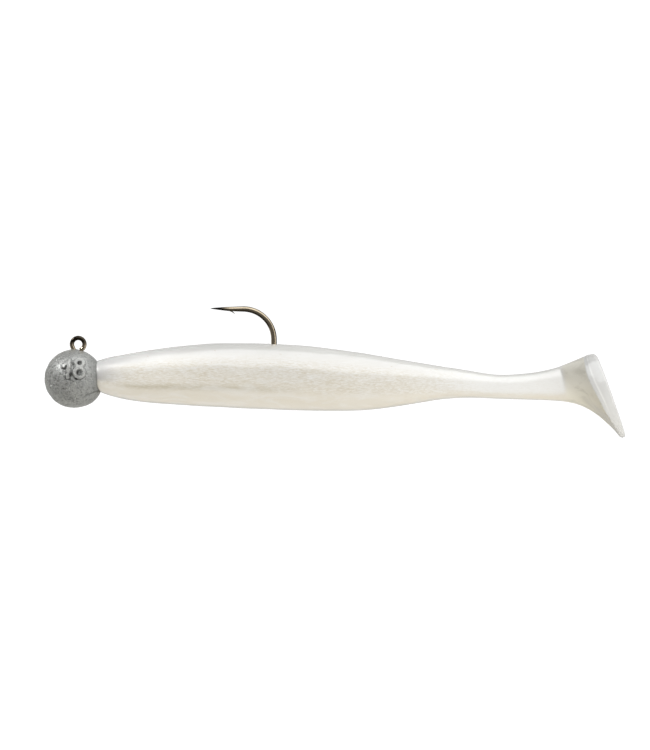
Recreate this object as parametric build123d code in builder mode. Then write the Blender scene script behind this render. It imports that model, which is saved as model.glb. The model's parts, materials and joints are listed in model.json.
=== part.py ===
"""A ready-rigged paddle-tail swimbait: a soft body threaded on a round jig head with a fixed hook.

Millimetres. The origin is the centre of the hook's line eye. +X runs from the head to the tail, +Z is up when
the lure swims, and the XZ plane is the lure's plane of symmetry.

The soft body is one flexible moulding. Here it is five links, which turn on upright axes where it flexes.
"""

import math
import os

from build123d import *

# ---- hook wire ----
WIRE_R = 0.55
EYE_BORE_R = 1.06  # the mandrel leaves a narrow flat land inside the eye
EYE_MEAN_R = 1.57
EYE_OPEN_END_DEG = -75.0  # the wire's cut end, just above the lead
EYE_LEG_DEG = 203.5  # where the ring runs out into the leg
LEG_CORNER_R = 2.5
SHANK_Z = -7.7
BEND_R = 7.7
BEND_CENTRE_X = 41.25
GAP = 16.5  # from the shank's centreline to the point's
POINT_TIP_X = 33.05
POINT_LIFT = 0.15  # the tip stands this far above the level part behind it
POINT_LENGTH = 3.9
POINT_TIP_R = 0.05
BARB_OUTLINE = [(37.7, 8.5), (38.7, 8.5), (39.1, 7.6)]
BARB_THICKNESS = 0.5

# ---- lead head ----
BALL_R = 7.2
BALL_CENTRE = (-1.1, 0, -8.6)
PARTING_RIB = 0.08  # the seam of the two mould halves stands this proud
PARTING_RIB_WIDTH = 0.4
GATE_PAD_R = 3.0  # the trimmed stub of the pouring gate
GATE_PAD_PROUD = 0.12
GATE_PAD_DEG = -50.0  # in the plane of symmetry, from +X
COLLAR_START_X = 4.0
# The keeper collar's outline, as distance along the shank and radius: a stem with two barbed rings.
COLLAR_OUTLINE = [(9.2, 2.1), (9.2, 3.0), (11.6, 1.9), (12.2, 1.9), (12.2, 2.7), (15.0, 1.3)]
COLLAR_STEM_R = 2.1

# ---- soft body ----
# Each station is the distance from the line eye, the back's height, the belly's height and half the width.
BODY_STATIONS = [
    (4.0, -4.6, -10.7, 4.1),
    (6.0, -3.65, -11.9, 4.8),
    (9.5, -3.05, -13.2, 5.4),
    (16.0, -1.85, -14.35, 6.1),
    (26.0, -0.6, -15.15, 6.7),
    (37.0, 0.2, -15.75, 7.0),
    (48.0, 0.05, -16.2, 7.0),
    (59.0, -0.8, -16.5, 6.8),
    (70.0, -2.2, -16.45, 6.1),
    (80.0, -3.8, -15.45, 5.1),
    (88.0, -5.15, -14.1, 4.2),
    (96.0, -6.5, -13.4, 3.4),
    (104.0, -7.55, -13.5, 2.8),
    (110.0, -7.55, -13.7, 2.5),
    (116.0, -6.8, -13.85, 2.4),
    (120.2, -5.85, -14.1, 2.5),
]
# Each flare station is its top and bottom point in the plane of symmetry, and half its width.
FLARE_STATIONS = [
    ((123.6, -4.6), (125.6, -15.0), 4.9),
    ((125.3, -3.75), (130.6, -18.0), 6.5),
    ((126.7, -3.15), (135.2, -22.6), 7.8),
]
PADDLE_BACK = ((129.7, -2.7), (136.5, -23.3), 7.8)
PADDLE_EGG = 0.12  # how much wider the paddle is towards its top
PADDLE_OUTLINE_POINTS = 16

# ---- flexing ----
# Each flex axis is its distance from the line eye and the radius of the rounded end that turns on it.
FLEX_AXES = [(68.0, 7.6), (88.0, 5.2), (104.0, 3.6), (117.0, 3.0)]
LINK_GAP = 0.2
LINK_NAMES = ["front_body", "mid_body", "rear_body", "tail_stalk", "tail_paddle"]
FAR = 200.0  # past every end of the lure


def station_face(top, bottom, half_width):
    """An oval face between two points of the plane of symmetry, square to it."""
    middle = ((top[0] + bottom[0]) / 2, 0, (top[1] + bottom[1]) / 2)
    up = Vector(top[0] - bottom[0], 0, top[1] - bottom[1])
    plane = Plane(origin=middle, x_dir=(0, 1, 0), z_dir=Vector(0, 1, 0).cross(up))
    half_height = up.length / 2
    with BuildSketch(plane) as oval:
        Ellipse(half_width, half_height)
    return oval.sketch.faces()[0]


def egg_face(top, bottom, half_width):
    """The paddle's outline: an oval that is wider towards its top."""
    middle = ((top[0] + bottom[0]) / 2, 0, (top[1] + bottom[1]) / 2)
    up = Vector(top[0] - bottom[0], 0, top[1] - bottom[1])
    plane = Plane(origin=middle, x_dir=(0, 1, 0), z_dir=Vector(0, 1, 0).cross(up))
    half_height = up.length / 2
    outline = []
    for step in range(PADDLE_OUTLINE_POINTS):
        turn = 2 * math.pi * step / PADDLE_OUTLINE_POINTS
        widen = 1 + PADDLE_EGG * math.sin(turn)
        outline.append((half_width * widen * math.cos(turn), half_height * math.sin(turn)))
    with BuildSketch(plane) as egg:
        with BuildLine():
            Spline(*outline, periodic=True)
        make_face()
    return egg.sketch.faces()[0]


# ---- hook: one wire, bent into the eye, the leg, the shank, the round bend and the barbed point ----
leg_angle = EYE_LEG_DEG - 270.0  # the leg's slope below level, as it leaves the ring
with BuildLine(Plane.XZ) as wire_path:
    ring = CenterArc((0, 0), EYE_MEAN_R, EYE_OPEN_END_DEG, EYE_LEG_DEG - EYE_OPEN_END_DEG)
    leg_drop = math.sin(math.radians(-leg_angle))
    corner_cut = LEG_CORNER_R * math.tan(math.radians(-leg_angle) / 2)
    ring_end_z = EYE_MEAN_R * math.sin(math.radians(EYE_LEG_DEG))
    leg_length = (ring_end_z - SHANK_Z) / leg_drop - corner_cut
    leg = PolarLine(ring @ 1, leg_length, leg_angle)
    corner = JernArc(leg @ 1, leg % 1, LEG_CORNER_R, -leg_angle)
    shank = Line(corner @ 1, (BEND_CENTRE_X, SHANK_Z))
    lower_bend = JernArc(shank @ 1, (1, 0), BEND_R, 90)
    rise = Line(lower_bend @ 1, (BEND_CENTRE_X + BEND_R, SHANK_Z + GAP - BEND_R))
    upper_bend = JernArc(rise @ 1, (0, 1), BEND_R, 90)
    point_start = (POINT_TIP_X + POINT_LENGTH, SHANK_Z + GAP)
    point_run = Line(upper_bend @ 1, point_start)

with BuildPart() as hook:
    with BuildSketch(Plane(origin=wire_path.line @ 0, z_dir=wire_path.line % 0)):
        Circle(WIRE_R)
    sweep(path=wire_path.line)
    point_base = Vector(point_start[0], 0, point_start[1])
    point_axis = Vector(-POINT_LENGTH, 0, POINT_LIFT)
    with BuildSketch(Plane(origin=point_base, x_dir=(0, 1, 0), z_dir=(-1, 0, 0))) as base:
        Circle(WIRE_R)
    with BuildSketch(Plane(origin=point_base + point_axis, x_dir=(0, 1, 0), z_dir=(-1, 0, 0))) as tip:
        Circle(POINT_TIP_R)
    loft(sections=[base.sketch, tip.sketch])
    with BuildSketch(Plane.XZ):
        Polygon(*BARB_OUTLINE, align=None)
    extrude(amount=BARB_THICKNESS / 2, both=True)
    Cylinder(EYE_BORE_R, 4 * WIRE_R, rotation=(90, 0, 0), mode=Mode.SUBTRACT)

# ---- lead head: a ball and its barbed keeper collar, cast round the hook's leg and shank ----
gate_direction = Vector(math.cos(math.radians(GATE_PAD_DEG)), 0, math.sin(math.radians(GATE_PAD_DEG)))
with BuildPart() as gate_pad:
    with BuildSketch(Plane(origin=BALL_CENTRE, x_dir=(0, 1, 0), z_dir=gate_direction)):
        Circle(GATE_PAD_R)
    extrude(amount=2 * BALL_R)
    with Locations(BALL_CENTRE):
        Sphere(BALL_R + GATE_PAD_PROUD, rotation=(90, 0, 0), mode=Mode.INTERSECT)

with BuildPart() as lead_head:
    with BuildSketch(Plane.XZ):
        with BuildLine():
            Polyline(
                (COLLAR_START_X, SHANK_Z),
                (COLLAR_START_X, SHANK_Z + COLLAR_STEM_R),
                *[(x, SHANK_Z + r) for x, r in COLLAR_OUTLINE],
                (COLLAR_OUTLINE[-1][0], SHANK_Z),
                close=True,
            )
        make_face()
    revolve(axis=Axis((0, 0, SHANK_Z), (1, 0, 0)))
    with Locations(BALL_CENTRE):
        Sphere(BALL_R, rotation=(90, 0, 0))
        Cylinder(BALL_R + PARTING_RIB, PARTING_RIB_WIDTH, rotation=(90, 0, 0))
    add(gate_pad.part)
    add(hook.part, mode=Mode.SUBTRACT)

# ---- soft body: the whole moulding first, then cut into its links ----
body_faces = [station_face((x, top), (x, belly), half) for x, top, belly, half in BODY_STATIONS]
with BuildPart() as moulding:
    loft(sections=body_faces)
    flare_faces = [station_face(*station) for station in FLARE_STATIONS[:-1]]
    loft(sections=[body_faces[-1], *flare_faces, egg_face(*FLARE_STATIONS[-1])])
    loft(sections=[egg_face(*FLARE_STATIONS[-1]), egg_face(*PADDLE_BACK)])


def behind(flex_axis, gap):
    """The space of what turns on a flex axis: everything behind it, and the round about it."""
    x, radius = flex_axis
    with BuildPart() as space:
        with Locations((x, 0, 0)):
            Cylinder(radius + gap, 2 * FAR)
            Box(FAR, FAR, 2 * FAR, align=(Align.MIN, Align.CENTER, Align.CENTER))
    return space.part


turning_spaces = [behind(flex_axis, 0) for flex_axis in FLEX_AXES]
cleared_spaces = [behind(flex_axis, LINK_GAP) for flex_axis in FLEX_AXES]
links = []
for number, name in enumerate(LINK_NAMES):
    with BuildPart() as link:
        add(moulding.part)
        if number > 0:
            add(turning_spaces[number - 1], mode=Mode.INTERSECT)
        if number < len(FLEX_AXES):
            add(cleared_spaces[number], mode=Mode.SUBTRACT)
        if number == 0:
            add(lead_head.part, mode=Mode.SUBTRACT)
            add(hook.part, mode=Mode.SUBTRACT)
    link.part.label = name
    links.append(link)

# ---- files ----
hook.part.label = "hook"
lead_head.part.label = "lead_head"
os.makedirs("parts", exist_ok=True)
for piece in [hook, lead_head, *links]:
    export_step(piece.part, f"parts/{piece.part.label}.step")
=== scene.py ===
"""The looks of a ready-rigged paddle-tail swimbait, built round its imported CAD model.

Lengths in this script are millimetres in the row frame (origin at the line eye's centre, +X towards the tail,
+Z up), and are turned into metres where a mesh is made.
"""

import json
import math

import bmesh
import bpy
import numpy as np
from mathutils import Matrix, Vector, noise


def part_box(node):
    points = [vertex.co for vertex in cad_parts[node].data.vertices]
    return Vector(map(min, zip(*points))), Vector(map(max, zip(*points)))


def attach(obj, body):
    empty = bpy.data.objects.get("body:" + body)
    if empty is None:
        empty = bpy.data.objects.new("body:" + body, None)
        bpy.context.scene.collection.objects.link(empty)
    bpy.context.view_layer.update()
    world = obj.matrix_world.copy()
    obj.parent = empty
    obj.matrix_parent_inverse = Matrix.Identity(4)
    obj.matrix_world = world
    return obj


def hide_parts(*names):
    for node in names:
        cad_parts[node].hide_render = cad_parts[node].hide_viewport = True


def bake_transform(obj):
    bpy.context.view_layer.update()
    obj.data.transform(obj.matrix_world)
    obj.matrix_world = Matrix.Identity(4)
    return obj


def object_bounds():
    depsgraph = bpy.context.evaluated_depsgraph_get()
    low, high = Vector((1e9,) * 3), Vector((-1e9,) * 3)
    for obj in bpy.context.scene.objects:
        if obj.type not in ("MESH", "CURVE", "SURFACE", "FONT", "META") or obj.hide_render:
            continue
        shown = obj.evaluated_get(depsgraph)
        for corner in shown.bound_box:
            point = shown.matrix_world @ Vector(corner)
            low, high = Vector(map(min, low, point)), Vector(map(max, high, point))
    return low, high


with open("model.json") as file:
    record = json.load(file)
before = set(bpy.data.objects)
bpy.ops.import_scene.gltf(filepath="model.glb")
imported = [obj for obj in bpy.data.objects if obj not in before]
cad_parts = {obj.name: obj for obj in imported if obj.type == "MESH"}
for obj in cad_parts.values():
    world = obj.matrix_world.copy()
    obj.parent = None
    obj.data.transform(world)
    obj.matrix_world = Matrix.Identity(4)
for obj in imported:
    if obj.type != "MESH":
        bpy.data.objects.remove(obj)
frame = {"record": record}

CAD_LOW, CAD_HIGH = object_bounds()
MM = 0.001


def node_box(name):
    """A CAD node's lowest and highest corner, in millimetres."""
    low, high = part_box(name)
    return np.array(low) / MM, np.array(high) / MM


# ---------------------------------------------------------------- sizes ----
# Hook, from its CAD box
HOOK_LOW, HOOK_HIGH = node_box("hook")
WIRE_R = HOOK_HIGH[1]
EYE_R = -HOOK_LOW[0] - WIRE_R
EYE_OPEN_END_DEG = -75.0
EYE_LEG_DEG = 203.5
LEG_CORNER_R = 2.5
SHANK_Z = HOOK_LOW[2] + WIRE_R
BEND_R = 7.7
BEND_BACK_X = HOOK_HIGH[0] - WIRE_R
POINT_Z = HOOK_HIGH[2] - WIRE_R
POINT_TIP = (33.05, POINT_Z + 0.15)
FORGED_WIDE = 1.27  # the bend is pressed wider in the hook's plane
FORGED_THIN = 0.84  # and thinner across it
# How the point thickens from its tip: distance along the wire, radius
POINT_TAPER = [
    (0.0, 0.02), (0.3, 0.085), (0.8, 0.165), (1.65, 0.265),
    (2.65, 0.365), (3.65, 0.46), (4.8, 0.535), (6.5, 0.55),
]
WIRE_STEP = 0.16
WIRE_AROUND = 28

# Lead head, from its CAD box
HEAD_LOW, HEAD_HIGH = node_box("lead_head")
BALL_R = HEAD_HIGH[1]
PARTING_RIB = 0.08
BALL = np.array([HEAD_LOW[0] + BALL_R + PARTING_RIB, 0, HEAD_HIGH[2] - BALL_R - PARTING_RIB])
COLLAR_END_X = HEAD_HIGH[0]
BALL_CELLS = 120
GATE_DEG = -60.5  # the trimmed gate's direction from the ball's centre, in the plane of symmetry from +X
GATE_ALONG = 4.15
GATE_ACROSS = 4.7
GATE_PROUD = 0.24
NUMERAL_PROUD = 0.5
# Pockets of painted shade against the numeral, from the ball's centre: along X, up, and size
NUMERAL_SHADE_POCKETS = [
    (-2.2, 2.8, 0.45), (-1.5, 0.3, 0.45), (-0.5, 1.1, 0.5),
    (1.4, 3.75, 0.45), (1.3, 1.55, 0.5), (0.9, 0.1, 0.4),
]

# Soft body: distance from the line eye, back, belly, half the width, squareness of the section
BODY = [
    (2.0, -5.2, -9.9, 3.7, 2.0),
    (4.6, -4.3, -11.4, 4.42, 2.0),
    (6.6, -3.65, -12.3, 4.9, 2.05),
    (10.4, -2.85, -13.4, 5.45, 2.1),
    (16.0, -1.85, -14.35, 6.1, 2.15),
    (24.0, -0.75, -15.0, 6.6, 2.15),
    (34.0, 0.1, -15.6, 6.95, 2.15),
    (44.0, 0.12, -16.05, 7.0, 2.15),
    (54.0, -0.3, -16.42, 6.9, 2.15),
    (64.0, -1.3, -16.6, 6.5, 2.15),
    (74.0, -2.8, -16.2, 5.75, 2.15),
    (84.0, -4.5, -14.8, 4.7, 2.2),
    (92.0, -5.8, -13.6, 3.8, 2.3),
    (98.0, -6.75, -13.3, 3.2, 2.4),
    (104.0, -7.62, -13.5, 2.8, 2.5),
    (110.0, -7.58, -13.7, 2.55, 2.6),
    (116.0, -6.8, -13.9, 2.4, 2.6),
    (121.5, -5.35, -14.2, 2.45, 2.5),
]
AROUND = 160
STALK_RINGS = 28  # from the last seam to the flare
FLARE_RINGS = 39
RING_STEP = 0.36
NOSE_BLEND_X = 9.0
NOSE_LIP = 0.5
NOSE_SQUARE_LOW = 0.8  # how much squarer the lower half of the nose is

# Paddle: a plate leaning back, seen on edge from the side
PADDLE_CENTRE = np.array([133.12, 0.0, -12.6])
PADDLE_LEAN_DEG = 19.7
PADDLE_UP = np.array([-math.sin(math.radians(PADDLE_LEAN_DEG)), 0, math.cos(math.radians(PADDLE_LEAN_DEG))])
PADDLE_FORWARD = np.array([-PADDLE_UP[2], 0, PADDLE_UP[0]])
PADDLE_HALF_HEIGHT = 11.05
PADDLE_HALF_WIDTH = 7.8
PADDLE_EGG = 0.12
# The plate's thickness up its rear face: height from its centre, thickness
PADDLE_THICKNESS = [
    (-11.05, 1.25), (-7.1, 2.15), (-3.9, 2.9), (-0.4, 3.35), (3.0, 3.85), (6.5, 4.1), (11.05, 3.2),
]
FLARE_END = 0.965  # the share of the flare that is drawn before the rim's front corner
RIM_CORNER = 0.28
RIM_CROWN = 0.10
FACE_DISH = 0.22

# Where the soft body's pieces meet, each in the middle of a stiff stretch
SEAMS_X = [79.0, 96.5, 111.5]


# ------------------------------------------------------------ mesh tools ----
def curve_through(table):
    """A function that gives a table's values between its rows, on one curve with no kinks."""
    table = np.array(table, float)
    place, values = table[:, 0], table[:, 1:]
    gap = np.diff(place)
    system = np.eye(len(place))
    load = np.zeros_like(values)
    for row in range(1, len(place) - 1):
        before, after = gap[row - 1], gap[row]
        system[row, row - 1:row + 2] = before, 2 * (before + after), after
        load[row] = 6 * (
            (values[row + 1] - values[row]) / after - (values[row] - values[row - 1]) / before
        )
    bend = np.linalg.solve(system, load)

    def value(at):
        at = np.asarray(at, float)
        row = np.clip(np.searchsorted(place, at) - 1, 0, len(place) - 2)
        span = gap[row][..., None]
        left = (at - place[row])[..., None]
        right = (place[row + 1] - at)[..., None]
        return (
            (bend[row] * right**3 + bend[row + 1] * left**3) / (6 * span)
            + (values[row] / span - bend[row] * span / 6) * right
            + (values[row + 1] / span - bend[row + 1] * span / 6) * left
        )

    return value


def ease(low, high, at):
    """0 below low, 1 above high, and smooth between."""
    t = np.clip((at - low) / (high - low), 0, 1)
    return t * t * (3 - 2 * t)


def noise_at(points, scale, octaves=3, seed=0):
    """Smooth noise between about -1 and 1 at points, with features about scale across."""
    scaled = points / np.array(scale) + seed * 17.3
    return np.array([noise.fractal(Vector(p), 0.8, 2.0, octaves) for p in scaled])


def make_object(name, points, faces):
    """An object of a closed mesh, with every face turned outward."""
    mesh = bpy.data.meshes.new(name)
    mesh.from_pydata((np.asarray(points) * MM).tolist(), [], faces)
    mesh.validate()
    outward = bmesh.new()
    outward.from_mesh(mesh)
    bmesh.ops.recalc_face_normals(outward, faces=outward.faces)
    outward.to_mesh(mesh)
    outward.free()
    mesh.polygons.foreach_set("use_smooth", [True] * len(mesh.polygons))
    mesh.set_sharp_from_angle(angle=math.radians(55))
    piece = bpy.data.objects.new(name, mesh)
    bpy.context.scene.collection.objects.link(piece)
    return piece


def skin_faces(rings, around):
    """Quads between rings of points, and a fan over each end to a point that follows the rings."""
    faces = []
    for ring in range(rings - 1):
        for step in range(around):
            following = (step + 1) % around
            here, ahead = ring * around, (ring + 1) * around
            faces.append((here + step, ahead + step, ahead + following, here + following))
    first_centre = rings * around
    last = (rings - 1) * around
    for step in range(around):
        following = (step + 1) % around
        faces.append((first_centre, step, following))
        faces.append((first_centre + 1, last + following, last + step))
    return faces


def skin(name, rings):
    """A closed piece from rings of points, shaped (rings, around, 3)."""
    count, around = rings.shape[:2]
    centres = np.array([rings[0].mean(axis=0), rings[-1].mean(axis=0)])
    points = np.concatenate([rings.reshape(-1, 3), centres])
    return make_object(name, points, skin_faces(count, around))


def paint_mask(piece, name, values):
    """Keeps a number from 0 to 1 at each point of a piece, for its material."""
    mask = piece.data.attributes.new(name, "FLOAT", "POINT")
    mask.data.foreach_set("value", np.asarray(values, np.float32))


def surface_normals(rings):
    """Outward normals of rings of points that turn from +Y over the top as they advance along +X."""
    along = np.gradient(rings, axis=0)
    around = (np.roll(rings, -1, axis=1) - np.roll(rings, 1, axis=1)) / 2
    normal = np.cross(around, along)
    return normal / np.maximum(np.linalg.norm(normal, axis=2, keepdims=True), 1e-9)


# ------------------------------------------------------------- materials ----
BELLY_COLOUR = (0.78, 0.735, 0.635)
FLANK_COLOUR = (0.79, 0.755, 0.675)
BAND_COLOUR = (0.82, 0.805, 0.765)
BACK_COLOUR = (0.74, 0.74, 0.715)
TAN = (0.66, 0.60, 0.475)
FLECK = (0.91, 0.90, 0.87)
PAINTED_SHADE_BROWN = (0.56, 0.51, 0.385)
CLOUD = (0.84, 0.825, 0.785)
BLOTCH = (0.86, 0.855, 0.835)
DOT = (0.66, 0.58, 0.46)
FLARE_SHADE_LOW, FLARE_SHADE_HIGH = (0.62, 0.575, 0.42), (0.87, 0.845, 0.75)
FLARE_CLOUD = (0.57, 0.545, 0.46)
PAINTED_HIGHLIGHT = (0.91, 0.91, 0.89)
RIM_SHADE = (0.70, 0.70, 0.685)
GREY_AND_BALL_REFLECTION = (0.47, 0.47, 0.475)
OXIDE_DARK, OXIDE_LIGHT = (0.255, 0.262, 0.255), (0.42, 0.428, 0.415)
LEAD_SPECK, LEAD_GRAIN = (0.12, 0.122, 0.116), (0.50, 0.505, 0.48)
LEAD_PAINTED_SHADE, LEAD_RECESS_SHADE, LEAD_HIGHLIGHT = (0.20, 0.203, 0.195), (0.035, 0.035, 0.033), (0.45, 0.45, 0.43)
PLATE_DARK, PLATE_LIGHT = (0.47, 0.395, 0.285), (0.56, 0.475, 0.35)
DARK_REFLECTION, NEEDLE = (0.022, 0.017, 0.012), (0.012, 0.011, 0.010)


class Material:
    """A node material, with short ways to add the nodes that it needs."""

    def __init__(self, name):
        self.data = bpy.data.materials.new(name)
        self.data.use_nodes = True
        self.nodes = self.data.node_tree.nodes
        self.links = self.data.node_tree.links
        self.shader = self.nodes["Principled BSDF"]

    def add(self, kind, **settings):
        node = self.nodes.new(kind)
        for key, value in settings.items():
            if hasattr(node, key):
                setattr(node, key, value)
            else:
                node.inputs[key.replace("_", " ")].default_value = value
        return node

    def link(self, source, target):
        self.links.new(source, target)

    def stretch(self, vector, scale):
        node = self.add("ShaderNodeMapping", vector_type="POINT")
        node.inputs["Scale"].default_value = scale
        self.link(vector, node.inputs["Vector"])
        return node.outputs["Vector"]

    def noise(self, vector, scale, detail=4.0, roughness=0.55, distortion=0.0):
        node = self.add(
            "ShaderNodeTexNoise", Scale=scale, Detail=detail, Roughness=roughness, Distortion=distortion
        )
        self.link(vector, node.inputs["Vector"])
        return node.outputs["Fac"]

    def ramp(self, value, stops):
        """stops are pairs of place and colour or grey level."""
        node = self.add("ShaderNodeValToRGB")
        while len(node.color_ramp.elements) < len(stops):
            node.color_ramp.elements.new(0.5)
        for element, (place, colour) in zip(node.color_ramp.elements, stops):
            element.position = place
            element.color = (*colour, 1) if isinstance(colour, tuple) else (colour, colour, colour, 1)
        self.link(value, node.inputs["Fac"])
        return node.outputs["Color"]

    def mix(self, factor, first, second, blend="MIX"):
        node = self.add("ShaderNodeMix", data_type="RGBA", blend_type=blend)
        for socket, value in (("Factor", factor), ("A", first), ("B", second)):
            inputs = [i for i in node.inputs if i.name == socket and i.enabled]
            if isinstance(value, tuple):
                inputs[0].default_value = (*value, 1)
            elif isinstance(value, float):
                inputs[0].default_value = value
            else:
                self.link(value, inputs[0])
        return [o for o in node.outputs if o.enabled][0]

    def math(self, operation, *values):
        node = self.add("ShaderNodeMath", operation=operation)
        for slot, value in enumerate(values):
            if isinstance(value, (int, float)):
                node.inputs[slot].default_value = value
            else:
                self.link(value, node.inputs[slot])
        return node.outputs["Value"]

    def map_range(self, value, low, high, to_low, to_high):
        node = self.add("ShaderNodeMapRange")
        for key, number in (("From Min", low), ("From Max", high), ("To Min", to_low), ("To Max", to_high)):
            node.inputs[key].default_value = number
        self.link(value, node.inputs["Value"])
        return node.outputs["Result"]

    def bump(self, height, distance_mm, strength=1.0, normal=None):
        node = self.add("ShaderNodeBump", Strength=strength, Distance=distance_mm * MM)
        self.link(height, node.inputs["Height"])
        if normal is not None:
            self.link(normal, node.inputs["Normal"])
        return node.outputs["Normal"]

    def set(self, **sockets):
        """Links or sets the shader's own sockets."""
        for key, value in sockets.items():
            socket = self.shader.inputs[key.replace("_", " ")]
            if isinstance(value, bpy.types.NodeSocket):
                self.link(value, socket)
            else:
                socket.default_value = value

    def object_mm(self):
        place = self.add("ShaderNodeTexCoord").outputs["Object"]
        return self.stretch(place, (1 / MM,) * 3)

    def attribute(self, name, output):
        return self.add("ShaderNodeAttribute", attribute_name=name).outputs[output]


def pearl_material():
    """Pearl-white soft PVC: warm and milky, mottled along the flanks by fine streaks, under a wet gloss."""
    m = Material("pearl_pvc")
    place = m.attribute("rest_mm", "Vector")
    height = m.attribute("height_share", "Fac")
    flank = m.attribute("flank", "Fac")
    line = m.attribute("painted_shade_line", "Fac")
    flare = m.attribute("flare", "Fac")
    streaks = m.noise(m.stretch(place, (0.30, 1.5, 1.5)), 1.0, 6.0, 0.6, 1.6)
    fibres = m.noise(m.stretch(place, (0.9, 4.2, 4.2)), 1.0, 5.0, 0.65, 0.5)
    clouds = m.noise(m.stretch(place, (0.06, 0.2, 0.2)), 1.0, 3.0, 0.5)
    # colour by height, partly the pearl's own two tones and partly painted light: warm bounce on the belly, a
    # lighter highlight band high on the flank and painted shade along the back
    tones_and_painted_light = m.ramp(
        height, [(0.0, BELLY_COLOUR), (0.45, FLANK_COLOUR), (0.78, BAND_COLOUR), (1.0, BACK_COLOUR)]
    )
    blotches = m.noise(m.stretch(place, (0.11, 0.34, 0.34)), 1.0, 4.0, 0.6, 0.8)
    fine = m.ramp(fibres, [(0.36, 1.0), (0.52, 0.0)])
    mottle = m.math("MULTIPLY_ADD", fine, 0.6, m.ramp(streaks, [(0.40, 0.55), (0.54, 0.0)]))
    mottle = m.math("MULTIPLY", mottle, m.map_range(blotches, 0.32, 0.66, 0.4, 1.45))
    tan = m.math("MULTIPLY", mottle, flank)
    flecks = m.ramp(fibres, [(0.50, 0.0), (0.68, 0.8)])
    colour = m.mix(tan, tones_and_painted_light, TAN)
    colour = m.mix(m.math("MULTIPLY", flecks, m.math("MULTIPLY_ADD", flank, 0.8, 0.2)), colour, FLECK)
    # a brown painted shade line low on the front flank
    shade_stroke = m.math("MULTIPLY", line, m.ramp(fibres, [(0.35, 1.0), (0.7, 0.55)]))
    colour = m.mix(shade_stroke, colour, PAINTED_SHADE_BROWN)
    colour = m.mix(m.ramp(clouds, [(0.40, 0.0), (0.7, 0.30)]), colour, CLOUD)
    colour = m.mix(m.ramp(blotches, [(0.46, 0.0), (0.62, 0.40)]), colour, BLOTCH)
    dots = m.ramp(m.noise(m.stretch(place, (0.8, 1.5, 1.5)), 1.0, 2.0, 0.5), [(0.68, 0.0), (0.74, 0.55)])
    dots = m.math("MULTIPLY", dots, m.ramp(height, [(0.45, 0.3), (0.65, 1.0)]))
    colour = m.mix(dots, colour, DOT)
    # the flare is painted in shade, darker and warmer low down, with darker random patches
    flare_shade = m.ramp(m.attribute("tail_height", "Fac"), [(0.25, FLARE_SHADE_LOW), (0.75, FLARE_SHADE_HIGH)])
    colour = m.mix(m.math("MULTIPLY", flare, m.ramp(streaks, [(0.3, 1.0), (0.7, 0.75)])), colour, flare_shade)
    cloudy = m.math("MULTIPLY", flare, m.ramp(blotches, [(0.34, 0.45), (0.50, 0.0)]))
    colour = m.mix(cloudy, colour, FLARE_CLOUD)
    # painted highlight on the stalk's flank and along the rim's front edge
    pale = m.math("MULTIPLY", m.attribute("pale", "Fac"), m.ramp(fibres, [(0.36, 0.68), (0.56, 1.0)]))
    colour = m.mix(pale, colour, PAINTED_HIGHLIGHT)
    # the rim is painted greyer, as shade
    colour = m.mix(m.attribute("rim", "Fac"), colour, RIM_SHADE)
    # grey on the nose and along the front of the back, and a painted reflection of the ball low on the nose
    grey_share = m.math("MULTIPLY", m.attribute("grey_and_ball_reflection", "Fac"), m.ramp(clouds, [(0.3, 0.65), (0.7, 0.95)]))
    colour = m.mix(grey_share, colour, GREY_AND_BALL_REFLECTION)
    roughness = m.map_range(fibres, 0.3, 0.7, 0.30, 0.42)
    relief = m.bump(m.math("MULTIPLY", streaks, m.math("MULTIPLY_ADD", flank, 0.6, 0.4)), 0.13, 0.35)
    relief = m.bump(fibres, 0.02, 0.30, relief)
    m.set(
        Base_Color=colour, Roughness=roughness, Normal=relief, Metallic=0.03, IOR=1.45,
        Coat_Weight=1.0, Coat_Roughness=0.075, Coat_IOR=1.6,
    )
    return m.data


def lead_material():
    """Dull cast lead: grey with darker oxide and a fine sandy grain, with painted highlights on the numeral's
    tops and the gate's lip, and painted shade round the numeral, in the gate's groove, round the eye and next
    to the body.
    """
    m = Material("cast_lead")
    place = m.object_mm()
    marks_and_painted_light = m.attribute("marks_and_painted_light", "Fac")
    patches = m.noise(place, 0.45, 5.0, 0.6, 0.3)
    specks = m.noise(place, 1.5, 6.0, 0.7)
    grain = m.noise(place, 2.6, 5.0, 0.65)
    oxide = m.ramp(patches, [(0.30, OXIDE_DARK), (0.70, OXIDE_LIGHT)])
    speckled = m.mix(m.ramp(specks, [(0.50, 0.0), (0.64, 0.85)]), oxide, LEAD_SPECK)
    colour = m.mix(m.ramp(grain, [(0.50, 0.0), (0.66, 0.75)]), speckled, LEAD_GRAIN)
    # painted shade round the eye and next to the body
    colour = m.mix(m.attribute("painted_shade", "Fac"), colour, LEAD_PAINTED_SHADE)
    # painted shade round the numeral and in the gate's groove, painted highlight on the numeral's tops and
    # along the gate's lip
    colour = m.mix(m.ramp(marks_and_painted_light, [(0.0, 0.93), (0.48, 0.0)]), colour, LEAD_RECESS_SHADE)
    colour = m.mix(m.ramp(marks_and_painted_light, [(0.53, 0.0), (1.0, 0.3)]), colour, LEAD_HIGHLIGHT)
    roughness = m.map_range(patches, 0.3, 0.7, 0.34, 0.48)
    relief = m.bump(specks, 0.08, 0.5)
    relief = m.bump(grain, 0.03, 0.5, relief)
    m.set(Base_Color=colour, Roughness=roughness, Normal=relief, Metallic=0.30)
    return m.data


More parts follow.
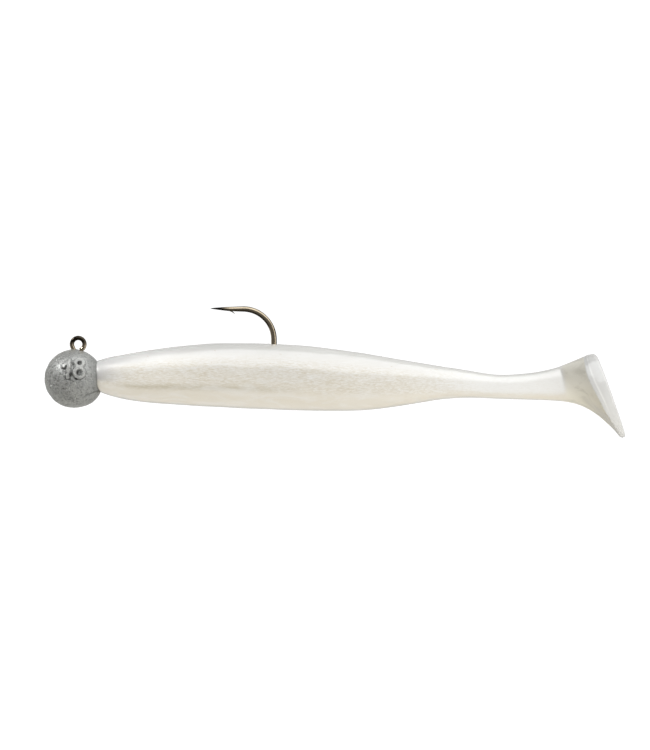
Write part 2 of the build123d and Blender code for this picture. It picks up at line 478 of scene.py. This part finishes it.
def wire_material():
    """Dark bronze nickel plate on drawn wire, a little uneven, with worn patches."""
    m = Material("dark_nickel")
    place = m.object_mm()
    wear = m.noise(place, 0.35, 3.0, 0.5)
    lines = m.noise(place, 2.5, 3.0, 0.5)
    plate = m.ramp(wear, [(0.35, PLATE_DARK), (0.65, PLATE_LIGHT)])
    # painted dark reflection inside the bend, along the outer edge, on top of the eye and over the barb
    dark = m.math("MULTIPLY", m.attribute("painted_dark_reflection", "Fac"), m.ramp(wear, [(0.3, 1.0), (0.7, 0.90)]))
    colour = m.mix(dark, plate, DARK_REFLECTION)
    colour = m.mix(m.attribute("dark_point", "Fac"), colour, NEEDLE)
    roughness = m.map_range(lines, 0.3, 0.7, 0.10, 0.17)
    relief = m.bump(lines, 0.002, 0.2)
    m.set(
        Base_Color=colour, Roughness=roughness, Normal=relief, Metallic=1.0,
        Specular_Tint=(0.40, 0.36, 0.31, 1),
    )
    return m.data


def floor_material():
    """Pale, slightly uneven and bright enough to read as white paper."""
    m = Material("pale_floor")
    grain = m.noise(m.object_mm(), 0.04, 3.0)
    m.set(
        Base_Color=m.ramp(grain, [(0.3, 0.86), (0.7, 0.9)]), Roughness=0.9,
        Emission_Color=(1, 1, 1, 1), Emission_Strength=0.65,
    )
    return m.data


# ------------------------------------------------------------------ hook ----
def arc(centre, radius, start_deg, end_deg):
    """Points along an arc in the hook's plane, about a wire step apart, without its last point."""
    count = max(2, round(abs(math.radians(end_deg - start_deg)) * radius / WIRE_STEP))
    turns = np.radians(np.linspace(start_deg, end_deg, count, endpoint=False))
    return np.stack([centre[0] + radius * np.cos(turns), centre[1] + radius * np.sin(turns)], axis=1)


def run(start, end):
    """Points along a straight run in the hook's plane, without its last point."""
    length = math.dist(start, end)
    count = max(2, round(length / WIRE_STEP))
    t = np.linspace(0, 1, count, endpoint=False)[:, None]
    return np.array(start) * (1 - t) + np.array(end) * t


def hook_path():
    """The wire's centreline in the hook's plane, from the eye's cut end to the needle point."""
    leg_turn = EYE_LEG_DEG - 180.0
    slope = math.radians(leg_turn - 90.0)
    leg_way = math.radians(EYE_LEG_DEG)
    leg_start = (EYE_R * math.cos(leg_way), EYE_R * math.sin(leg_way))
    corner_cut = LEG_CORNER_R * math.tan(-slope / 2)
    leg_length = (leg_start[1] - SHANK_Z) / math.sin(-slope) - corner_cut
    leg_end = (leg_start[0] + leg_length * math.cos(slope), leg_start[1] + leg_length * math.sin(slope))
    shank_start = (leg_end[0] + corner_cut * math.cos(slope) + corner_cut, SHANK_Z)
    bend_x = BEND_BACK_X - BEND_R
    low_centre = (bend_x, SHANK_Z + BEND_R)
    high_centre = (bend_x, POINT_Z - BEND_R)
    point_bend = (POINT_TIP[0] + 5.0, POINT_Z)
    return np.concatenate([
        arc((0, 0), EYE_R, EYE_OPEN_END_DEG, EYE_LEG_DEG),
        run(leg_start, leg_end),
        arc((shank_start[0], SHANK_Z + LEG_CORNER_R), LEG_CORNER_R, 180 + leg_turn, 270),
        run(shank_start, (bend_x, SHANK_Z)),
        arc(low_centre, BEND_R, -90, 0),
        run((BEND_BACK_X, low_centre[1]), (BEND_BACK_X, high_centre[1])),
        arc(high_centre, BEND_R, 0, 90),
        run((bend_x, POINT_Z), point_bend),
        run(point_bend, POINT_TIP),
        [POINT_TIP],
    ])


def hook_radii(path, from_tip):
    """The wire's radius in the hook's plane and across it, at each point of its path."""
    taper = curve_through(POINT_TAPER)(np.clip(from_tip, 0, POINT_TAPER[-1][0]))[:, 0]
    forged = ease(36.5, 43.0, path[:, 0]) * ease(-9.0, -6.0, path[:, 1] + 0.25 * (path[:, 0] - 41.0))
    forged *= ease(2.5, 7.0, from_tip)
    in_plane = taper * (1 + (FORGED_WIDE - 1) * forged)
    across = taper * (1 + (FORGED_THIN - 1) * forged)
    return in_plane, across


def build_hook():
    path = hook_path()
    steps = np.linalg.norm(np.diff(path, axis=0), axis=1)
    from_tip = np.concatenate([np.cumsum(steps[::-1])[::-1], [0]])
    tangent = np.gradient(path, axis=0)
    tangent /= np.linalg.norm(tangent, axis=1, keepdims=True)
    side = np.stack([-tangent[:, 1], tangent[:, 0]], axis=1)
    in_plane, across = hook_radii(path, from_tip)
    turns = 2 * math.pi * np.arange(WIRE_AROUND) / WIRE_AROUND
    # The eye's cut end is rounded over by two smaller rings.
    path = np.concatenate([path[:1], path[:1] + tangent[:1] * 0.05, path[1:]])
    side = np.concatenate([side[:1], side[:1], side[1:]])
    in_plane = np.concatenate([[WIRE_R * 0.82], in_plane[:1], in_plane[1:]])
    across = np.concatenate([[WIRE_R * 0.82], across[:1], across[1:]])
    out = in_plane[:, None] * np.cos(turns)
    rings = np.stack([
        path[:, :1] + side[:, :1] * out,
        across[:, None] * np.sin(turns),
        path[:, 1:] + side[:, 1:] * out,
    ], axis=2)
    hook = skin("hook_wire", rings)
    from_tip = np.concatenate([from_tip[:1], from_tip])
    # the point is near-black, fading out between 2.4 and 5.2 mm from its tip
    dark_point = np.repeat(1 - ease(2.4, 5.2, from_tip), WIRE_AROUND)
    paint_mask(hook, "dark_point", np.concatenate([dark_point, [0, 1]]))
    # painted dark reflection: the plate is darker inside the bend, along its outer edge and on top of the eye
    bent = ease(3.2, 5.5, path[:, 1]) * ease(30.0, 32.0, path[:, 0])
    inside = bent[:, None] * ease(0.15, 0.60, np.cos(turns))
    outer_edge = ease(20.0, 30.0, path[:, :1]) * 0.85 * (1 - ease(-0.84, -0.55, np.cos(turns)))
    top_of_eye = ease(-0.8, 0.9, path[:, 1:]) * (1 - ease(2.6, 3.4, path[:, :1]))
    painted_dark_reflection = np.maximum(inside + outer_edge, top_of_eye)
    paint_mask(hook, "painted_dark_reflection", np.concatenate([painted_dark_reflection.ravel(), [0, 0]]))
    return hook


def build_barb():
    """The barb: a sliver raised from under the wire, curving down and back to a sharp tip."""
    count = 22
    t = np.linspace(0, 1, count)
    centre_x = 36.6 + 2.6 * t
    centre_z = POINT_Z - 0.20 - 1.06 * t**2.5
    half_width = 0.42 * (1 - t) ** 0.5 + 0.015
    half_thick = 0.23 * (1 - t) ** 0.5 + 0.012
    slope = np.gradient(centre_z, centre_x)
    normal = np.stack([-slope, np.ones(count)], axis=1) / np.sqrt(1 + slope**2)[:, None]
    turns = 2 * math.pi * np.arange(16) / 16
    out = half_thick[:, None] * np.cos(turns)
    rings = np.stack([
        centre_x[:, None] + normal[:, :1] * out,
        half_width[:, None] * np.sin(turns),
        centre_z[:, None] + normal[:, 1:] * out,
    ], axis=2)
    barb = skin("hook_barb", rings)
    paint_mask(barb, "dark_point", np.full(count * 16 + 2, 0.35))
    # painted dark reflection over the barb
    paint_mask(barb, "painted_dark_reflection", np.full(count * 16 + 2, 0.7))
    return barb


# ------------------------------------------------------------- lead head ----
def glyph_strokes():
    """The centrelines of the raised weight in grams, 18, on the ball's side."""
    loop = np.radians(np.linspace(0, 360, 28))
    one = np.array([(-2.25, 2.95), (-0.75, 4.35), (-1.3, 0.35)])
    upper = np.stack([1.6 + 0.92 * np.cos(loop), 3.72 + 0.88 * np.sin(loop)], axis=1)
    lower = np.stack([1.55 + 1.12 * np.cos(loop), 1.45 + 1.14 * np.sin(loop)], axis=1)
    return [one, upper, lower]


def stroke_distance(points, strokes):
    """How far each point is from the nearest stroke."""
    nearest = np.full(len(points), 1e9)
    for stroke in strokes:
        for start, end in zip(stroke[:-1], stroke[1:]):
            run_vector = end - start
            t = np.clip(((points - start) @ run_vector) / (run_vector @ run_vector), 0, 1)
            nearest = np.minimum(nearest, np.linalg.norm(points - start - t[:, None] * run_vector, axis=1))
    return nearest


def ball_grid(cells):
    """A ball of even quads: the directions of its points, and its faces."""
    line = np.tan(np.linspace(-math.pi / 4, math.pi / 4, cells + 1))
    a, b = np.meshgrid(line, line, indexing="ij")
    one = np.ones_like(a)
    sides = [(one, a, b), (-one, b, a), (b, one, a), (a, -one, b), (a, b, one), (b, a, -one)]
    points, faces = [], []
    for number, side in enumerate(sides):
        points.append(np.stack(side, axis=2).reshape(-1, 3))
        corner = number * (cells + 1) ** 2
        for i in range(cells):
            for j in range(cells):
                here = corner + i * (cells + 1) + j
                faces.append((here, here + cells + 1, here + cells + 2, here + 1))
    points = np.concatenate(points)
    points /= np.linalg.norm(points, axis=1, keepdims=True)
    keys = np.round(points, 7)
    _, first, back = np.unique(keys, axis=0, return_index=True, return_inverse=True)
    back = back.reshape(-1)
    return points[first], [tuple(int(back[i]) for i in face) for face in faces]


def ball_relief(way):
    """How far the ball's skin stands out, and where it carries painted highlight and shade. way is the
    direction from its centre.
    """
    at = way * BALL_R
    rough = 0.045 * noise_at(at, 2.4, 3, 1) + 0.026 * noise_at(at, 0.8, 3, 2)
    pits = -0.13 * ease(0.42, 0.75, noise_at(at, 0.75, 2, 5))
    # the mould's parting line, and the trimmed gate low at the back
    rib = PARTING_RIB * (1 - ease(0.10, 0.28, np.abs(at[:, 1])))
    gate_way = np.array([math.cos(math.radians(GATE_DEG)), 0, math.sin(math.radians(GATE_DEG))])
    gate_side = np.array([-gate_way[2], 0, gate_way[0]])
    gate = np.sqrt(((at @ gate_side) / GATE_ALONG) ** 2 + (at[:, 1] / GATE_ACROSS) ** 2)
    facing = way @ gate_way > 0
    groove = np.where(facing, np.exp(-(((gate - 1.04) / 0.05) ** 2)), 0)
    fade = ease(-0.6, 0.4, (at @ gate_side) / GATE_ALONG)
    pad = (np.where(facing, GATE_PROUD * (1 - ease(0.94, 1.03, gate)), 0) - 0.08 * groove) * fade
    # raised numeral on the -Y side, and the lead drawn up round the eye's leg
    numeral_place = np.stack([at[:, 0], at[:, 2]], axis=1)
    distance = stroke_distance(numeral_place, glyph_strokes())
    near_side = way[:, 1] < 0
    ragged = distance + 0.15 * noise_at(at, 0.45, 2, 7)
    numeral = np.where(near_side, NUMERAL_PROUD * (1 - ease(0.30, 0.52, ragged)), 0)
    moat = np.where(near_side, np.exp(-(((ragged - 0.62) / 0.13) ** 2)), 0)
    from_leg = np.linalg.norm(at + BALL - np.array([-0.9, 0, -1.6]), axis=1)
    meniscus = 0.16 * np.exp(-((from_leg / 1.0) ** 2))
    relief = rough + pits * (1 - ease(0.2, 0.4, numeral)) + rib + pad + numeral - 0.10 * moat + meniscus
    # painted shade in pockets against the numeral
    shade_pockets = np.zeros(len(way))
    for x, z, radius in NUMERAL_SHADE_POCKETS:
        shade_pockets += np.exp(-((numeral_place[:, 0] - x) ** 2 + (numeral_place[:, 1] - z) ** 2) / radius**2)
    shade_pockets *= near_side * ease(0.20, 0.45, ragged)
    # painted highlight along the gate's lip and on the numeral's tops, painted shade in the moat and the
    # gate's groove
    gate_lip = np.where(facing, np.exp(-(((gate - 0.91) / 0.05) ** 2)), 0)
    marks_and_painted_light = np.where(near_side, 1 - ease(0.16, 0.36, ragged), 0) - 0.5 * moat - shade_pockets
    marks_and_painted_light = np.clip(marks_and_painted_light - 0.55 * groove * fade + 0.7 * gate_lip * fade, -1, 1)
    return relief, marks_and_painted_light


def build_ball():
    way, faces = ball_grid(BALL_CELLS)
    relief, marks_and_painted_light = ball_relief(way)
    ball = make_object("lead_ball", BALL + way * (BALL_R + relief)[:, None], faces)
    paint_mask(ball, "marks_and_painted_light", marks_and_painted_light * 0.5 + 0.5)
    # painted shade: the lead is darker round the eye and next to the body
    paint_mask(ball, "painted_shade", 0.42 * np.maximum(ease(0.30, 0.80, way[:, 0]), ease(0.60, 0.95, way[:, 2])))
    return ball


def build_collar():
    """The keeper collar: a stem along the shank with two barbed rings, hidden in the soft body."""
    outline = [
        (4.0, 2.1), (9.0, 2.1), (9.05, 2.2), (9.2, 2.95), (9.3, 3.0), (9.5, 2.93), (11.5, 1.95),
        (11.9, 1.9), (12.1, 1.95), (12.2, 2.62), (12.3, 2.7), (12.5, 2.62), (14.8, 1.4), (COLLAR_END_X, 1.15),
    ]
    turns = 2 * math.pi * np.arange(72) / 72
    rings = np.array([
        [(x, r * math.cos(t), SHANK_Z + r * math.sin(t)) for t in turns] for x, r in outline
    ])
    return skin("keeper_collar", rings)


# ------------------------------------------------------------- soft body ----
body_at = curve_through(BODY)
turn = 2 * math.pi * np.arange(AROUND) / AROUND  # 0 is the +Y side, a quarter turn is the back
turn_cos, turn_sin = np.cos(turn), np.sin(turn)


def body_points(x, phi_cos=turn_cos, phi_sin=turn_sin):
    """Points of the body's skin at distances x from the eye, one for each point round it."""
    shape = body_at(x)
    back, belly, half_width, square = (shape[..., i] for i in range(4))
    square = square + np.where(phi_sin < 0, NOSE_SQUARE_LOW * (1 - ease(5.0, 16.0, x)), 0)
    y = half_width * np.sign(phi_cos) * np.abs(phi_cos) ** (2 / square)
    z = np.sign(phi_sin) * np.abs(phi_sin) ** (2 / square)
    return np.stack([x, y, (back + belly) / 2 + (back - belly) / 2 * z], axis=-1)


def nose_rings():
    """From the cup that sits on the ball, over a rounded lip, to where the body's rings stand upright."""
    rim_x = np.full(AROUND, 5.0)
    for _ in range(30):
        rim = body_points(rim_x)
        flat = (rim[:, 1] * 0.94 - BALL[1]) ** 2 + (rim[:, 2] - BALL[2]) ** 2
        rim_x = BALL[0] + np.sqrt(np.maximum((BALL_R - 0.05) ** 2 - flat, 0.2))
    spread = np.linspace(0, 1, 26) ** 1.6
    rings = []
    for share in spread:
        x = rim_x * (1 - share) + NOSE_BLEND_X * share
        points = body_points(x)
        past_rim = np.clip((x - rim_x) / NOSE_LIP, 0, 1)
        inset = 0.30 * (1 - np.sqrt(1 - (1 - past_rim) ** 2))
        middle = np.stack([x, 0 * x, (points[:, 2].max() + points[:, 2].min()) / 2 + 0 * x], axis=1)
        outward = points - middle
        length = np.linalg.norm(outward, axis=1, keepdims=True)
        rings.append(points - outward / length * inset[:, None])
    # the cup: in from the lip along the ball's skin
    cup = []
    for share in (0.35, 0.6, 0.8, 0.92):
        inner = rings[0].copy()
        inner[:, 1] *= share
        inner[:, 2] = BALL[2] + (rings[0][:, 2] - BALL[2]) * share
        flat = inner[:, 1] ** 2 + (inner[:, 2] - BALL[2]) ** 2
        inner[:, 0] = BALL[0] + np.sqrt((BALL_R - 0.05) ** 2 - flat)
        cup.append(inner)
    return np.array(cup + rings)


def upright_rings(start, end):
    count = max(3, round((end - start) / RING_STEP) + 1)
    return np.array([body_points(np.full(AROUND, x)) for x in np.linspace(start, end, count)])


def crease_x(height):
    """Where the stalk ends and the flare begins, by height from -1 at the belly to 1 at the back."""
    from_furthest = height + 0.3
    upper = 121.3 - 1.2 * (from_furthest / 1.3) ** 2
    lower = 121.3 - 0.3 * (from_furthest / 0.7) ** 2
    return np.where(height > -0.3, upper, lower)


def paddle_rings():
    """From the last seam along the stalk, out over the flare, round the rim and over the flat rear face."""
    up, forward = PADDLE_UP, PADDLE_FORWARD
    crease = crease_x(turn_sin)
    start = SEAMS_X[-1]
    rings = []
    for share in np.linspace(0, 1, STALK_RINGS):
        rings.append(body_points(start * (1 - share) + crease * share))
    root = rings[-1]
    rear = (
        PADDLE_CENTRE
        + np.outer(turn_sin * PADDLE_HALF_HEIGHT, up)
        + np.outer(turn_cos * PADDLE_HALF_WIDTH * (1 + PADDLE_EGG * turn_sin), (0, 1, 0))
    )
    thickness = curve_through(PADDLE_THICKNESS)(turn_sin * PADDLE_HALF_HEIGHT)
    inward = PADDLE_CENTRE - rear
    inward /= np.linalg.norm(inward, axis=1, keepdims=True)
    edge = rear + thickness * forward + 0.12 * inward + 0.20 * ease(0.2, 1.0, turn_sin)[:, None] * up
    # the flare: it leaves the stalk at a crease on the upper flank and smoothly lower down
    chord = edge - root
    reach = np.linalg.norm(chord, axis=1, keepdims=True)
    chord /= reach
    smooth_start = (1 - ease(-0.55, 0.35, turn_sin))[:, None] * 0.92 + 0.06
    leave = chord * (1 - smooth_start) + np.array([1.0, 0, -0.04]) * smooth_start
    leave /= np.linalg.norm(leave, axis=1, keepdims=True)
    outward = np.outer(turn_cos, (0, 1, 0)) + np.outer(turn_sin, up)
    under = ease(0.0, -1.0, turn_sin)[:, None]
    arrive = chord + outward * (0.22 * np.abs(turn_cos)[:, None] + 1.1 * under)
    arrive /= np.linalg.norm(arrive, axis=1, keepdims=True)
    first_pull = root + leave * reach * (0.30 + 0.08 * under)
    last_pull = edge - arrive * reach * 0.30
    for t in np.linspace(0, FLARE_END, FLARE_RINGS + 1)[1:]:
        rings.append(
            (1 - t) ** 3 * root
            + 3 * (1 - t) ** 2 * t * first_pull
            + 3 * (1 - t) * t**2 * last_pull
            + t**3 * edge
        )
    wall = rear - edge
    wall /= np.linalg.norm(wall, axis=1, keepdims=True)
    # front edge of the rim, the rim's wall, its rounded rear edge, and the face
    corner_start = rings[-1]
    corner_end = edge + wall * RIM_CORNER
    for t in np.linspace(0, 1, 7)[1:]:
        rings.append((1 - t) ** 2 * corner_start + 2 * (1 - t) * t * edge + t**2 * corner_end)
    back_round = np.minimum(0.62, thickness * 0.42) + 0.75 * ease(0.45, 1.0, turn_sin)[:, None]
    back_start = rear - wall * back_round
    for t in np.linspace(0, 1, 8)[1:]:
        crown = RIM_CROWN * math.sin(math.pi * t)
        rings.append(corner_end * (1 - t) + back_start * t - inward * crown)
    back_end = rear + inward * back_round
    for t in np.linspace(0, 1, 9)[1:]:
        rings.append((1 - t) ** 2 * back_start + 2 * (1 - t) * t * rear + t**2 * back_end)
    for share in np.linspace(1, 0.03, 22)[1:]:
        dish = FACE_DISH * (1 - share**2)
        rings.append(PADDLE_CENTRE + (back_end - PADDLE_CENTRE) * share + forward * dish)
    return np.array(rings)


def weather(rings, exit_x=None):
    """Small unevenness of a soft moulding: waves, flow marks, the mould's seam, and the hook's puncture."""
    normal = surface_normals(rings)
    flat = rings.reshape(-1, 3)
    waves = 0.055 * noise_at(flat, (9.0, 3.4, 3.4), 2, 3)
    marks = 0.020 * noise_at(flat, (3.2, 0.9, 0.9), 3, 4)
    out = (waves + marks).reshape(rings.shape[:2]) * (1 - 0.6 * ease(108.0, 121.0, rings[..., 0]))
    keel = ease(119.0, 123.0, rings[..., 0]) * (1 - ease(132.0, 134.5, rings[..., 0])) * (normal[..., 2] < 0)
    rear_face = ease(0.5, 0.9, -(normal @ PADDLE_FORWARD)) * (rings[..., 0] > 121.0)
    out += 0.07 * np.exp(-((rings[..., 1] / 0.16) ** 2)) * (1 - keel) * (1 - rear_face)
    out += 0.16 * np.exp(-((rings[..., 1] / 0.30) ** 4)) * keel
    if exit_x is not None:
        place = np.array([exit_x, 0, body_at(np.array([exit_x]))[0, 0]])
        away = np.linalg.norm(rings - place, axis=2)
        out += -0.30 * np.exp(-((away / 0.75) ** 2)) + 0.10 * np.exp(-(((away - 1.15) / 0.4) ** 2))
    return rings + normal * out[..., None]


def tail_masks(place, ring):
    """Where the thin flare is, where the paddle's rim and rear face are, and the height up the paddle.

    The first two go from 0 to 1 and the height from -1 to 1. ring is each point's ring, counted from where
    the flare's last ring meets the rim.
    """
    height = np.clip((place - PADDLE_CENTRE) @ PADDLE_UP / PADDLE_HALF_HEIGHT, -1, 1)
    rim = ease(-1.0, 3.0, ring)
    flare = ease(0.1, 1.6, place[:, 0] - crease_x(height)) * (1 - rim)
    return flare, rim, height


def soft_piece(name, rings, rim_ring):
    """A closed piece of the soft body that remembers its place at rest, for its colours.

    rim_ring is the ring where the paddle's rim begins, past the last ring of the other pieces.
    """
    piece = skin(name, rings)
    mesh = piece.data
    rest = mesh.attributes.new("rest_mm", "FLOAT_VECTOR", "POINT")
    place = np.array([v.co for v in mesh.vertices]) / MM
    rest.data.foreach_set("vector", place.astype(np.float32).ravel())
    shape = body_at(np.clip(place[:, 0], BODY[0][0], BODY[-1][0]))
    middle, half = (shape[:, 0] + shape[:, 1]) / 2, (shape[:, 0] - shape[:, 1]) / 2
    share = np.clip((place[:, 2] - middle) / half * 0.5 + 0.5, 0, 1)
    ring = np.append(np.repeat(np.arange(len(rings)), AROUND), [0, len(rings)])
    flare, rim, height = tail_masks(place, ring - rim_ring)
    # painted highlight on the stalk's flank: it takes the band's lighter colour and a pale wash
    stalk_highlight = ease(76.0, 104.0, place[:, 0]) * ease(0.10, 0.34, share) * (1 - ease(0.8, 1.0, share))
    share = share + (0.78 - share) * stalk_highlight
    # under their painted shade, the flare takes the belly's colour and the rim the back's
    share = share * (1 - flare) * (1 - rim) + 0.10 * flare + 0.97 * rim
    plain_tail = 1 - 0.75 * ease(90.0, 116.0, place[:, 0])
    flank = ease(0.20, 0.36, share) * (1 - ease(0.66, 0.86, share)) * plain_tail
    # painted shade line low on the front flank
    line = np.exp(-(((share - 0.30) / 0.045) ** 2))
    line = line * ease(6.0, 14.0, place[:, 0]) * (1 - ease(40.0, 60.0, place[:, 0]))
    paint_mask(piece, "height_share", share)
    paint_mask(piece, "flank", flank)
    paint_mask(piece, "painted_shade_line", line)
    paint_mask(piece, "flare", flare)
    # the rim has a painted highlight line just behind its front edge
    lip = np.exp(-(((ring - rim_ring - 7.0) / 0.45) ** 2)) * ease(-0.6, 0.0, height)
    # the rim is painted greyer, as shade
    paint_mask(piece, "rim", rim * (1 - lip) * 0.85)
    # grey on the nose and along the front of the back
    marks_and_painted_light = np.exp(-(((place[:, 0] - 4.0) / 6.0) ** 2)) * ease(0.25, 0.55, share)
    marks_and_painted_light = np.maximum(marks_and_painted_light, np.exp(-(((place[:, 0] - 4.0) / 12.0) ** 2)) * ease(0.66, 0.86, share))
    # a grey wedge low on the nose is a painted reflection of the ball
    marks_and_painted_light += 0.35 * np.exp(-(((share - 0.40) / 0.07) ** 2)) * (1 - ease(5.0, 11.0, place[:, 0]))
    marks_and_painted_light = np.maximum(marks_and_painted_light, ease(0.80, 0.97, share) * (1 - ease(16.0, 60.0, place[:, 0])) * 0.55)
    paint_mask(piece, "grey_and_ball_reflection", marks_and_painted_light)
    # painted highlight on the stalk's flank and along the rim's front edge
    paint_mask(piece, "pale", 0.85 * stalk_highlight * (1 - flare) * (1 - rim) + lip)
    # height up the paddle, for the flare's painted shade
    paint_mask(piece, "tail_height", height * 0.5 + 0.5)
    return piece


def build_body():
    """The soft body in four pieces, split at the seams."""
    front_rings = np.concatenate([nose_rings(), upright_rings(NOSE_BLEND_X, SEAMS_X[0])[1:]])
    middle_rings = upright_rings(SEAMS_X[0], SEAMS_X[1])
    rear_rings = upright_rings(SEAMS_X[1], SEAMS_X[2])
    tail_rings = paddle_rings()
    all_rings = np.concatenate([front_rings, middle_rings[1:], rear_rings[1:], tail_rings[1:]])
    all_rings = weather(all_rings, exit_x=BEND_BACK_X)
    ends = np.cumsum([len(part) - 1 for part in (front_rings, middle_rings, rear_rings, tail_rings)])
    names = ["body_front", "body_middle", "body_rear", "paddle_tail"]
    starts = [0, *ends[:-1]]
    rim_ring = starts[-1] + STALK_RINGS + FLARE_RINGS
    return [soft_piece(name, all_rings[a:b + 1], rim_ring - a) for name, a, b in zip(names, starts, ends)]


# ------------------------------------------------------------------ make ----
hook = build_hook()
barb = build_barb()
ball = build_ball()
collar = build_collar()
soft = build_body()

pearl, lead, wire = pearl_material(), lead_material(), wire_material()
for piece, material, slot in (
    (hook, wire, "dark_nickel"),
    (barb, wire, "dark_nickel"),
    (ball, lead, "cast_lead"),
    (collar, lead, "cast_lead"),
    *((piece, pearl, "pearl_pvc") for piece in soft),
):
    piece.data.materials.append(material)

ROOT = "jig_and_front"
for piece in (hook, barb, ball, collar):
    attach(piece, ROOT)
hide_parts("hook")
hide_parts("lead_head")
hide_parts("lead_head")
replaced = [("front_body", "mid_body"), ("rear_body",), ("tail_stalk",), ("tail_paddle",)]
for piece, nodes, joint in zip(soft, replaced, frame["record"]["behaviour"]["joints"]):
    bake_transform(piece)
    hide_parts(*nodes)

# ----------------------------------------------------------------- stage ----
MIDDLE = (CAD_LOW + CAD_HIGH) / 2
FLOOR_DROP = 0.055  # the lure hangs by its eye this far above the floor
FLOOR_FRONT = -0.07
FLOOR_BACK = 0.60
FLOOR_SIDES = 0.80
ROOM_FRONT = 0.17
ROOM_BACK = 0.60


def build_floor():
    """A pale table top that ends a little in front of the lure."""
    z = CAD_LOW.z - FLOOR_DROP
    left, right = MIDDLE.x - FLOOR_SIDES, MIDDLE.x + FLOOR_SIDES
    corners = [
        (left, FLOOR_FRONT, z), (right, FLOOR_FRONT, z), (right, FLOOR_BACK, z), (left, FLOOR_BACK, z),
    ]
    mesh = bpy.data.meshes.new("floor")
    mesh.from_pydata(corners, [], [(0, 1, 2, 3)])
    floor = bpy.data.objects.new("floor", mesh)
    bpy.context.scene.collection.objects.link(floor)
    mesh.materials.append(floor_material())
    floor.visible_diffuse = False
    floor.visible_glossy = False


def build_world():
    """White where the camera sees it. The lure sees a white backdrop behind it and a dim room in front."""
    world = bpy.data.worlds.new("studio")
    bpy.context.scene.world = world
    world.use_nodes = True
    nodes, links = world.node_tree.nodes, world.node_tree.links
    nodes.clear()
    backdrop = nodes.new("ShaderNodeBackground")
    backdrop.inputs["Color"].default_value = (1, 1, 1, 1)
    backdrop.inputs["Strength"].default_value = 1.1
    way = nodes.new("ShaderNodeTexCoord")
    split = nodes.new("ShaderNodeSeparateXYZ")
    depth = nodes.new("ShaderNodeMapRange")
    depth.interpolation_type = "SMOOTHSTEP"
    depth.inputs["From Min"].default_value = -0.25
    depth.inputs["From Max"].default_value = 0.65
    depth.inputs["To Min"].default_value = ROOM_FRONT
    depth.inputs["To Max"].default_value = ROOM_BACK
    room = nodes.new("ShaderNodeBackground")
    room.inputs["Color"].default_value = (1.0, 0.985, 0.955, 1)
    kind = nodes.new("ShaderNodeLightPath")
    choice = nodes.new("ShaderNodeMixShader")
    output = nodes.new("ShaderNodeOutputWorld")
    links.new(way.outputs["Generated"], split.inputs["Vector"])
    links.new(split.outputs["Y"], depth.inputs["Value"])
    links.new(depth.outputs["Result"], room.inputs["Strength"])
    links.new(kind.outputs["Is Camera Ray"], choice.inputs["Fac"])
    links.new(room.outputs["Background"], choice.inputs[1])
    links.new(backdrop.outputs["Background"], choice.inputs[2])
    links.new(choice.outputs["Shader"], output.inputs["Surface"])


def softbox(name, place, target, size, radiance, colour=(1, 1, 1), spread=180, glossy=True, diffuse=True):
    """A rectangular light at a place seen from the lure's middle, as bright as radiance all over.

    glossy says whether it is reflected, and diffuse whether it lights matt surfaces.
    """
    light = bpy.data.lights.new(name, "AREA")
    light.shape = "RECTANGLE"
    light.size, light.size_y = size
    light.energy = radiance * math.pi * size[0] * size[1]
    light.color = colour
    light.spread = math.radians(spread)
    box = bpy.data.objects.new(name, light)
    bpy.context.scene.collection.objects.link(box)
    box.location = MIDDLE + Vector(place)
    box.rotation_mode = "QUATERNION"
    box.rotation_quaternion = (Vector(target) - Vector(place)).to_track_quat("-Z", "Y")
    box.visible_camera = False
    box.visible_glossy = glossy
    box.visible_diffuse = diffuse


build_floor()
build_world()
softbox("key", (0.15, -0.21, 0.455), (0.03, 0, 0), (0.86, 0.76), 1.75, (0.98, 0.99, 1.0), diffuse=False)
softbox("sky", (0.20, -0.20, 0.46), (0.03, 0, 0), (0.80, 0.74), 1.20, (0.98, 0.99, 1.0), glossy=False)
softbox("left", (-0.12, -0.022, 0.054), (-0.065, 0, 0), (0.045, 0.045), 0.62, spread=24)
softbox("right", (0.40, -0.48, 0.02), (0.03, 0, 0), (0.26, 0.40), 1.35, diffuse=False)
softbox("fill", (0.46, -0.48, 0.14), (0.03, 0, 0), (0.80, 0.56), 1.90, glossy=False)
softbox("bounce", (0.30, -0.28, -0.42), (0.02, 0, 0), (0.60, 0.45), 1.0, (1.0, 0.965, 0.90), glossy=False)
softbox("table", (-0.04, -0.12, -0.30), (-0.02, 0, 0), (0.80, 0.36), 1.4, (1.0, 0.97, 0.91), glossy=False)

camera_data = bpy.data.cameras.new("camera")
camera_data.lens = 300
camera_data.sensor_width = 36
camera = bpy.data.objects.new("camera", camera_data)
bpy.context.scene.collection.objects.link(camera)
FRAME_HEIGHT = 0.1875  # what the picture's long side takes in
FRAME_CENTRE = Vector((0.0617, 0, -0.0077))
camera.location = FRAME_CENTRE - Vector((0, FRAME_HEIGHT * camera_data.lens / camera_data.sensor_width, 0))
camera.rotation_euler = (math.radians(90), 0, 0)
bpy.context.scene.camera = camera
bpy.context.scene.view_settings.view_transform = "Standard"
